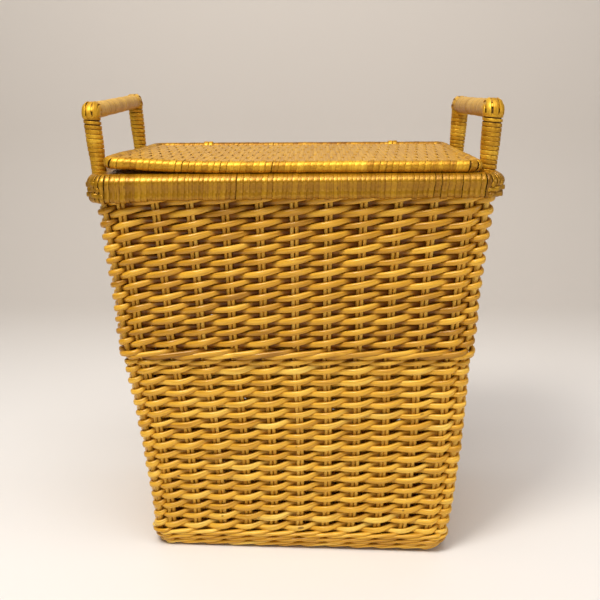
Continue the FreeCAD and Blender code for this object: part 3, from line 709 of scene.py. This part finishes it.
def rim_bundle(name, inward, node):
    """Two round bundles of rods, one above the other, next to the rim's outer or inner line."""
    cane = Cane()
    low_drop = 0.87 * (RIM_HIGH[2] - RIM_LOW[2]) - RIM_LOW_ROD - RIBBON_THICK
    for radius, drop, from_line, slack in ((RIM_ROD, RIM_ROD + RIBBON_THICK, 0.0, 3.4 * MM),
                                           (RIM_LOW_ROD, low_drop, LOW_INSET, 1.8 * MM)):
        inset = radius + RIBBON_THICK + from_line
        if inward:
            inset = RIM_BREADTH - inset
        plan = []
        for side in range(4):
            reach = to_corner(rim_halves(side)[0], RIM_CORNER)
            middle = np.linspace(-reach + 24 * MM, reach - 24 * MM, 12)
            a = np.concatenate([[-reach, -reach + 8 * MM, -reach + 16 * MM], middle,
                                [reach - 16 * MM, reach - 8 * MM]])
            plan.append(rim_spot(side, a, inset)[0])
        plan = np.concatenate(plan)
        points = np.concatenate([plan, np.full((len(plan), 1), RIM_HIGH[2] - drop)], 1)
        width = 2 * (radius - slack)
        cane.sweep(points, UP, oval(14), width, width, 0.5, closed=True)
    cane.make(name, painted_shade_core, "basket", "round_rod", (node,))


rim_bundle("rim_outer_rods", False, "rim_outer_hoop")
rim_bundle("rim_inner_rods", True, "rim_inner_hoop")

# -------- the handles

BEND, GRIP_RADIUS = 5 * MM, 11 * MM
BAR_LOW = RIM_HIGH[2] - 3 * MM


def arch(reach, top, places):
    """Points and directions along a squared arch in (across, up), from the front leg's foot."""
    leg = top - BEND - BAR_LOW
    turn = BEND * math.pi / 2
    bar = 2 * (reach - BEND)
    points, ahead = [], []
    for s in places:
        if s < leg:
            points.append((-reach, BAR_LOW + s))
            ahead.append((0, 1))
        elif s < leg + turn:
            t = (s - leg) / BEND
            points.append((-reach + BEND * (1 - math.cos(t)), top - BEND + BEND * math.sin(t)))
            ahead.append((math.sin(t), math.cos(t)))
        elif s < leg + turn + bar:
            points.append((-reach + BEND + s - leg - turn, top))
            ahead.append((1, 0))
        elif s < leg + 2 * turn + bar:
            t = (s - leg - turn - bar) / BEND
            points.append((reach - BEND + BEND * math.sin(t), top - BEND + BEND * math.cos(t)))
            ahead.append((math.cos(t), -math.sin(t)))
        else:
            points.append((reach, top - BEND - (s - leg - 2 * turn - bar)))
            ahead.append((0, -1))
    return np.array(points), np.array(ahead), leg, turn, bar


def handle(end, x_foot, x_top, girth, back_rise, seed):
    """One handle, from the x of its feet and top, its radius, and how much its back bend is higher."""
    noise = random.Random(seed)
    low, high = node_box("handle_wrap_" + end)
    top, reach = high[2] - GRIP_RADIUS, high[1] - GRIP_RADIUS
    _, _, leg, turn, bar = arch(reach, top, [0.0])
    length = 2 * leg + 2 * turn + bar

    def frame_at(s):
        points, ahead, *_ = arch(reach, top, s)
        up = (points[:, 1] - BAR_LOW) / (top - BAR_LOW)
        x = x_foot + (x_top - x_foot) * np.clip(up, 0, 1)
        rise = back_rise * np.clip(0.5 + points[:, 0] / reach / 2, 0, 1) * up
        centre = np.stack([x, points[:, 0], points[:, 1] + rise], 1)
        side = np.tile([1.0, 0.0, 0.0], (len(s), 1))
        outer = np.stack([np.zeros(len(s)), -ahead[:, 1], ahead[:, 0]], 1)
        return centre, side, outer

    def thickness(s):
        away = np.abs(s - length / 2) / (length / 2)
        near_bend = np.exp(-((np.abs(s - length / 2) - bar / 2 - turn / 2) / (14 * MM)) ** 2)
        return girth * (1 + 0.03 * near_bend - 0.12 * smooth((away - 0.75) / 0.25))

    def coil(cane, first, last, pitch, wide, lift, phase, loose=0.0):
        turns = (last - first) / pitch
        s = np.linspace(first, last, int(turns * 16))
        angle = (s - first) / pitch * 2 * math.pi + phase
        centre, side, outer = frame_at(s)
        spin = side * np.cos(angle)[:, None] + outer * np.sin(angle)[:, None]
        wobble = wander(len(s), 0.25 * MM, noise.random(), 23)
        radius = thickness(s) + lift + wobble
        near_bend = np.exp(-((s - leg + 9 * MM) / (9 * MM)) ** 2)
        size = wide * (1 + wander(len(s), 0.12, noise.random(), 16) - loose * near_bend)
        tone = 0.5 + wander(len(s), 0.5, noise.random(), 15)
        cane.sweep(centre + spin * radius[:, None], spin, FLAT_STRAP, size, RIBBON_THICK, tone)

    bar_start, bar_end = leg + turn * 0.9, leg + turn * 1.1 + bar
    legs, grip = Cane(), Cane()
    coil(legs, 0.0, bar_start, 5.6 * MM, 5.1 * MM, 0.0, 0.3, 0.25)
    coil(legs, bar_end, length, 5.6 * MM, 5.1 * MM, 0.0, 1.3)
    coil(grip, bar_start - 3 * MM, bar_end + 3 * MM, 8.6 * MM, 8.7 * MM, -0.3 * MM, 0.6)
    # strips laid over each bend, along the handle
    for middle, cane in ((leg + turn / 2, legs), (leg + 1.5 * turn + bar, grip)):
        for angle in (-72, -36, 0, 36, 72):
            on_leg, on_bar = noise.uniform(6, 9) * MM, noise.uniform(12, 16) * MM
            before, after = (on_leg, on_bar) if middle < length / 2 else (on_bar, on_leg)
            s = np.linspace(middle - before, middle + after, 18)
            spread = math.radians(90 + angle) + wander(len(s), 0.1, noise.random(), 9)
            centre, side, outer = frame_at(s)
            spin = side * np.cos(spread)[:, None] + outer * np.sin(spread)[:, None]
            t = np.linspace(-1, 1, len(s))
            square = 1.3 * MM * math.sin(math.radians(2 * angle)) ** 2 * (1 - t * t)
            radius = thickness(s) + 0.5 * MM + square - 1.6 * MM * smooth((np.abs(t) - 0.7) / 0.3)
            cane.sweep(centre + spin * radius[:, None], spin, FLAT_STRAP, 6.0 * MM, RIBBON_THICK,
                       noise.uniform(0.3, 0.9))
    legs.make(f"handle_{end}_legs", golden, "basket", "cane_wrap", ("handle_wrap_" + end,))
    grip.make(f"handle_{end}_grip", matte_cane, "basket", "cane_wrap")

    core = Cane()
    s = np.linspace(-4 * MM, length + 4 * MM, 120)
    centre, side, outer = frame_at(s)
    width = 2 * (thickness(s) - RIBBON_THICK * 0.9)
    core.sweep(centre, outer, oval(16), width, width, 0.4)
    core.make(f"handle_{end}_core_rod", painted_shade_core, "basket", "round_rod", ("handle_core_" + end,))


handle("left", -246.5 * MM, -251.5 * MM, 10.0 * MM, 5 * MM, 61)
handle("right", 240.5 * MM, 243.5 * MM, 11.6 * MM, -3 * MM, 62)

# -------- the lid

LID_ROD = (LID_HIGH[2] - LID_LOW[2]) / 2
LID_MIDDLE = (LID_HIGH[2] + LID_LOW[2]) / 2
LID_CORNER = 20 * MM - LID_ROD
# how far the left end stands out, the front left corner has lifted, and the front stands forward
LID_WIDER, LID_LIFT, LID_FORWARD = 5.0 * MM, 6.0 * MM, 3.5 * MM


def lid_line(count):
    """Evenly spaced points round the middle of the lid's border rod, with outward normals."""
    half_x, half_y = LID_HIGH[0] - LID_ROD, LID_HIGH[1] - LID_ROD
    sides, total = [], 0
    for side in range(4):
        long_half = half_x if side % 2 == 0 else half_y
        reach = long_half - LID_CORNER * (1 - math.pi / 4)
        sides.append((side, reach, long_half, half_y if side % 2 == 0 else half_x))
        total += 2 * reach
    points, normals = [], []
    for k, (side, reach, long_half, cross_half) in enumerate(sides):
        before = 2 * sum(r for _, r, _, _ in sides[:k])
        s = np.arange(count) * total / count
        mine = (s >= before) & (s < before + 2 * reach)
        x, y, nx, ny = round_side(side, s[mine] - before - reach, long_half, cross_half, LID_CORNER)
        points.append(np.stack([x, y, np.full(len(x), LID_MIDDLE)], 1))
        normals.append(np.stack([nx, ny, np.zeros(len(x))], 1))
    return np.concatenate(points), np.concatenate(normals), total


def lid_warp(points):
    """The lid is a little wider at its left end, and its front left corner has lifted."""
    points = points.copy()
    left = smooth(-points[:, 0] / LID_HIGH[0])
    front = smooth(0.5 - points[:, 1] / LID_HIGH[1] / 2)
    points[:, 0] -= LID_WIDER * left
    points[:, 1] -= LID_FORWARD * front
    points[:, 2] += (LID_LIFT * left ** 3 + 0.4 * MM) * front
    return points


noise = random.Random(71)
_, _, lid_round = lid_line(8)
border_turns = round(lid_round / (7.6 * MM))
count = border_turns * 16
points, normal, _ = lid_line(count)
angle = np.arange(count) / 16 * 2 * math.pi + wander(count, 0.5, 3, 40)
spin = normal * np.cos(angle)[:, None] + UP * np.sin(angle)[:, None]
at_front = smooth(-points[:, 1] / (80 * MM))
# painted shade: the back of the border is darkened, damping the highlight the lamps put on its roll
at_back = smooth((points[:, 1] - 0.11) / (30 * MM))
radius = LID_ROD - 0.75 * MM + 0.85 * MM * at_front + wander(count, 0.25 * MM, 4, 16)
width = 7.7 * MM * (1 + wander(count, 0.1, 5, 16))
border = Cane()
border.sweep(lid_warp(points) + spin * radius[:, None], spin, FLAT_STRAP, width, RIBBON_THICK,
             0.36 + wander(count, 0.5, 6, 15), closed=True, shade=0.6 * at_back)
border.make("lid_border_ribbon", golden, "lid", "cane_wrap", ("lid_wrap",))

rod = Cane()
points, normal, _ = lid_line(240)
width = 2 * LID_ROD - 2.8 * MM
rod.sweep(lid_warp(points), normal, oval(14), width, width, 0.5, closed=True)
rod.make("lid_border_rod", painted_shade_core, "lid", "round_rod", ("lid_frame",))

LID_STICKS = 7
LID_STICK_STEP = 39 * MM
LID_STICK = (STICKS_HIGH[2] - STICKS_LOW[2]) / 2
sticks = Cane()
for j in range(LID_STICKS):
    x = np.linspace(STICKS_LOW[0], STICKS_HIGH[0], 40)
    y = (j - LID_STICKS // 2) * LID_STICK_STEP
    points = np.stack([x, np.full(40, y), np.full(40, LID_MIDDLE)], 1)
    # painted shade: the sticks are darkened all along, so where they show in the gaps between canes they look
    # dark
    sticks.sweep(lid_warp(points), np.tile(UP, (40, 1)), oval(10), 2 * LID_STICK, 2 * LID_STICK,
                 0.5 * noise.random(), shade=0.75)
sticks.make("lid_stick_rods", peeled, "lid", "peeled_willow_stakes", ("lid_sticks",))

LID_CANE_STEP = 4.5 * MM
CANE_THICK = 1.1 * MM
mat = Cane()
inside = LID_HIGH[0] - 2 * LID_ROD + 1.5 * MM
canes = int(2 * inside / LID_CANE_STEP)
reach = LID_HIGH[1] - LID_ROD - 1 * MM
for i in range(canes):
    x = (i - (canes - 1) / 2) * LID_CANE_STEP
    y = np.linspace(-reach, reach, 112)
    j = np.round(y / LID_STICK_STEP).astype(int)
    away = np.abs(y / LID_STICK_STEP - j) * LID_STICK_STEP
    under = ((i + j * 2) % 3 == 0) & (np.abs(j) <= 3)
    rise = LID_STICK + CANE_THICK / 2
    over_height = rise - 0.5 * MM * smooth(away / (18 * MM))
    dip = 1 - smooth((away - 4.6 * MM) / (5.0 * MM))
    height = np.where(under, over_height - 2 * rise * dip, over_height)
    droop = smooth((np.abs(y) - reach + 16 * MM) / (16 * MM))
    height = height * (1 - 0.8 * droop) + wander(len(y), 0.12 * MM, noise.random(), 12)
    side = wander(len(y), 0.35 * MM, noise.random(), 14)
    points = np.stack([x + side, y, LID_MIDDLE + 1.0 * MM * (1 - droop) + height], 1)
    width = LID_CANE_STEP * noise.uniform(1.06, 1.14)
    # painted shade: a cane is darkened in its dip where it goes under a stick, so the dip reads as a dark
    # tick
    mat.sweep(lid_warp(points), np.tile(UP, (len(y), 1)), FLAT_STRAP, width, CANE_THICK,
              noise.uniform(0.42, 0.58), shade=np.where(under, dip, 0.0))
mat.make("lid_weave_canes", lid_cane, "lid", "lid_cane_weave", ("lid_weave",))

# -------- the base

BASE_MIDDLE = (BASE_STICKS_LOW[2] + BASE_STICKS_HIGH[2]) / 2
BASE_STICK = (BASE_STICKS_HIGH[2] - BASE_STICKS_LOW[2]) / 2
BASE_STICK_STEP = 30 * MM
base_rods = Cane()
for j in range(7):
    x = np.linspace(BASE_STICKS_LOW[0], BASE_STICKS_HIGH[0], 30)
    points = np.stack([x + 1 * MM, np.full(30, (j - 3) * BASE_STICK_STEP), np.full(30, BASE_MIDDLE)], 1)
    points[:, 1] -= SKEW * points[:, 0]
    base_rods.sweep(points, np.tile(UP, (30, 1)), oval(10), 2 * BASE_STICK, 2 * BASE_STICK,
                    noise.random())
base_rods.make("base_stick_rods", peeled, "basket", "peeled_willow_stakes", ("base_sticks",))

weavers = Cane()
base_half_x, base_half_y = FOOT_HIGH[0] - WALL - 4 * MM, FOOT_HIGH[1] - WALL - 3 * MM
step = 5.6 * MM
count = int(2 * base_half_x / step)
for i in range(count):
    x = 1 * MM + (i - (count - 1) / 2) * step
    y = np.linspace(-base_half_y, base_half_y, 56)
    swing = np.cos(y / BASE_STICK_STEP * math.pi + i * math.pi) * (BASE_STICK + 1.8 * MM)
    points = np.stack([x + wander(56, 0.3 * MM, noise.random(), 8), y, BASE_MIDDLE + swing], 1)
    points[:, 1] -= SKEW * x
    weavers.sweep(points, np.tile(UP, (56, 1)), oval(8), 5.3 * MM, 4.4 * MM, noise.random())
weavers.make("base_weave_rods", willow, "basket", "willow_weave", ("base_weave",))

# -------- the hinge loops

for end in ("left", "right"):
    low, high = node_box("hinge_loop_" + end)
    middle_x = (low[0] + high[0]) / 2
    eye_y = LID_HIGH[1] - LID_ROD
    eye_r = high[2] - LID_MIDDLE - 0.55 * MM
    rim_in, rim_out = low[1] + 0.7 * MM, high[1] - 0.7 * MM
    rim_down = low[2] + 0.7 * MM
    line = [(rim_in, RIM_HIGH[2] - 2 * MM), (rim_in, rim_down + 3 * MM), (rim_in + 3 * MM, rim_down),
            (rim_out - 3 * MM, rim_down), (rim_out, rim_down + 3 * MM), (rim_out, RIM_HIGH[2] - 2 * MM)]
    for t in np.linspace(-20, 200, 15):
        turn = math.radians(t)
        line.append((eye_y + eye_r * math.cos(turn), LID_MIDDLE + eye_r * math.sin(turn)))
    line = np.array(line)
    fine = []
    for k in range(len(line)):
        first, second = line[k], line[(k + 1) % len(line)]
        pieces = max(1, int(np.linalg.norm(second - first) / (3 * MM)))
        fine += [first + (second - first) * t / pieces for t in range(pieces)]
    fine = np.array(fine)
    for _ in range(3):
        fine = (np.roll(fine, 1, 0) + 2 * fine + np.roll(fine, -1, 0)) / 4
    ahead = np.roll(fine, -1, 0) - np.roll(fine, 1, 0)
    ahead /= np.linalg.norm(ahead, axis=1)[:, None]
    away = np.stack([np.zeros(len(fine)), ahead[:, 1], -ahead[:, 0]], 1)
    loop = Cane()
    for offset in (-3.5, 3.5):
        points = np.concatenate([np.full((len(fine), 1), middle_x + offset * MM), fine], 1)
        loop.sweep(points, away, STRAP, 6.8 * MM, RIBBON_THICK, noise.random(), closed=True)
    loop.make(f"hinge_loop_{end}_bands", golden, "basket", "cane_wrap", ("hinge_loop_" + end,))

# -------- material of the CAD pieces that stay

cad_looks = {"stakes_": peeled, "corner_post": peeled, "base_sticks": peeled, "lid_sticks": peeled,
             "rim_wrap": golden, "handle_wrap": golden, "lid_wrap": golden, "hinge_loop": golden,
             "rim_outer": painted_shade_core, "rim_inner": painted_shade_core, "handle_core": painted_shade_core, "lid_frame": painted_shade_core,
             "lid_weave": lid_cane}
for name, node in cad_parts.items():
    look = next((look for start, look in cad_looks.items() if name.startswith(start)), willow)
    for place in node.material_slots:
        place.material = look

# -------- floor, light and camera


def stage_plane():
    """The floor, which bends up into the backdrop behind the hamper."""
    reach, back, rise, bend = 4.0, 1.6, 2.6, 0.5
    line = [(-reach, 0.0), (back - bend, 0.0)]
    for t in np.linspace(0.15, math.pi / 2, 9):
        line.append((back - bend + bend * math.sin(t), bend - bend * math.cos(t)))
    line.append((back, rise))
    verts = [(x, y, z) for x in (-reach, reach) for y, z in line]
    count = len(line)
    faces = [(i, i + count, i + count + 1, i + 1) for i in range(count - 1)]
    mesh = bpy.data.meshes.new("floor")
    mesh.from_pydata(verts, [], faces)
    mesh.polygons.foreach_set("use_smooth", [True] * len(faces))
    floor = bpy.data.objects.new("floor", mesh)
    bpy.context.scene.collection.objects.link(floor)

    def build(tree, surface):
        place = add(tree, "TexCoord")
        split = add(tree, "SeparateXYZ", {"Vector": place.outputs["Object"]})
        depth = add(tree, "MapRange", {"From Min": 0.2, "From Max": 1.5, "Value": split.outputs["Y"]},
                    interpolation_type="SMOOTHSTEP")
        stops = [(0.0, (0.80, 0.77, 0.75)), (1.0, (0.62, 0.57, 0.525))]
        feed(tree, surface.inputs["Base Color"], ramp(tree, depth.outputs["Result"], stops))
        feed(tree, surface.inputs["Roughness"], 0.75)

    mesh.materials.append(shader("floor_pale", build))


def soft_light(name, place, target, wide, power, colour):
    """A soft rectangular light at a place, turned to its target."""
    data = bpy.data.lights.new(name, "AREA")
    data.shape = "RECTANGLE"
    data.size, data.size_y = wide
    data.energy = power
    data.color = colour
    light = bpy.data.objects.new(name, data)
    light.location = place
    light.rotation_euler = (Vector(target) - Vector(place)).to_track_quat("-Z", "Y").to_euler()
    bpy.context.scene.collection.objects.link(light)


stage_plane()
soft_light("key", (-0.75, -1.05, 2.25), (0, 0, 0.35), (0.7, 0.7), 35, (1.0, 0.97, 0.90))
soft_light("front", (0.2, -2.6, 0.5), (0, 0, 0.12), (1.4, 0.7), 7, (1.0, 0.97, 0.93))
soft_light("top", (0.0, -0.9, 2.7), (0, -0.2, 0.2), (2.2, 1.4), 42, (1.0, 0.98, 0.95))
soft_light("side", (1.8, -0.7, 0.9), (0.15, 0, 0.1), (1.2, 1.0), 7, (1.0, 0.98, 0.96))
soft_light("backdrop", (0.0, 0.4, 2.3), (0, 1.6, 0.9), (2.4, 0.5), 10, (1.0, 0.98, 0.96))

world = bpy.data.worlds.new("studio")
bpy.context.scene.world = world
world.use_nodes = True
background = world.node_tree.nodes["Background"]
background.inputs["Color"].default_value = (0.90, 0.88, 0.86, 1)
background.inputs["Strength"].default_value = 0.12

bpy.context.scene.view_settings.view_transform = "Standard"

CAMERA_PLACE = Vector((0.0347, -1.1097, 0.6506))
CAMERA_DOWN, CAMERA_LEFT, CAMERA_ROLL = 15.785, 1.684, -0.447
camera_data = bpy.data.cameras.new("camera")
camera_data.lens = 47.11
camera_data.sensor_width = 36.0
camera = bpy.data.objects.new("camera", camera_data)
turn = Matrix.Rotation(math.radians(CAMERA_LEFT), 4, "Z")
tilt = Matrix.Rotation(math.radians(90 - CAMERA_DOWN), 4, "X")
roll = Matrix.Rotation(math.radians(CAMERA_ROLL), 4, "Z")
camera.matrix_world = Matrix.Translation(CAMERA_PLACE) @ turn @ tilt @ roll
bpy.context.scene.collection.objects.link(camera)
bpy.context.scene.camera = camera
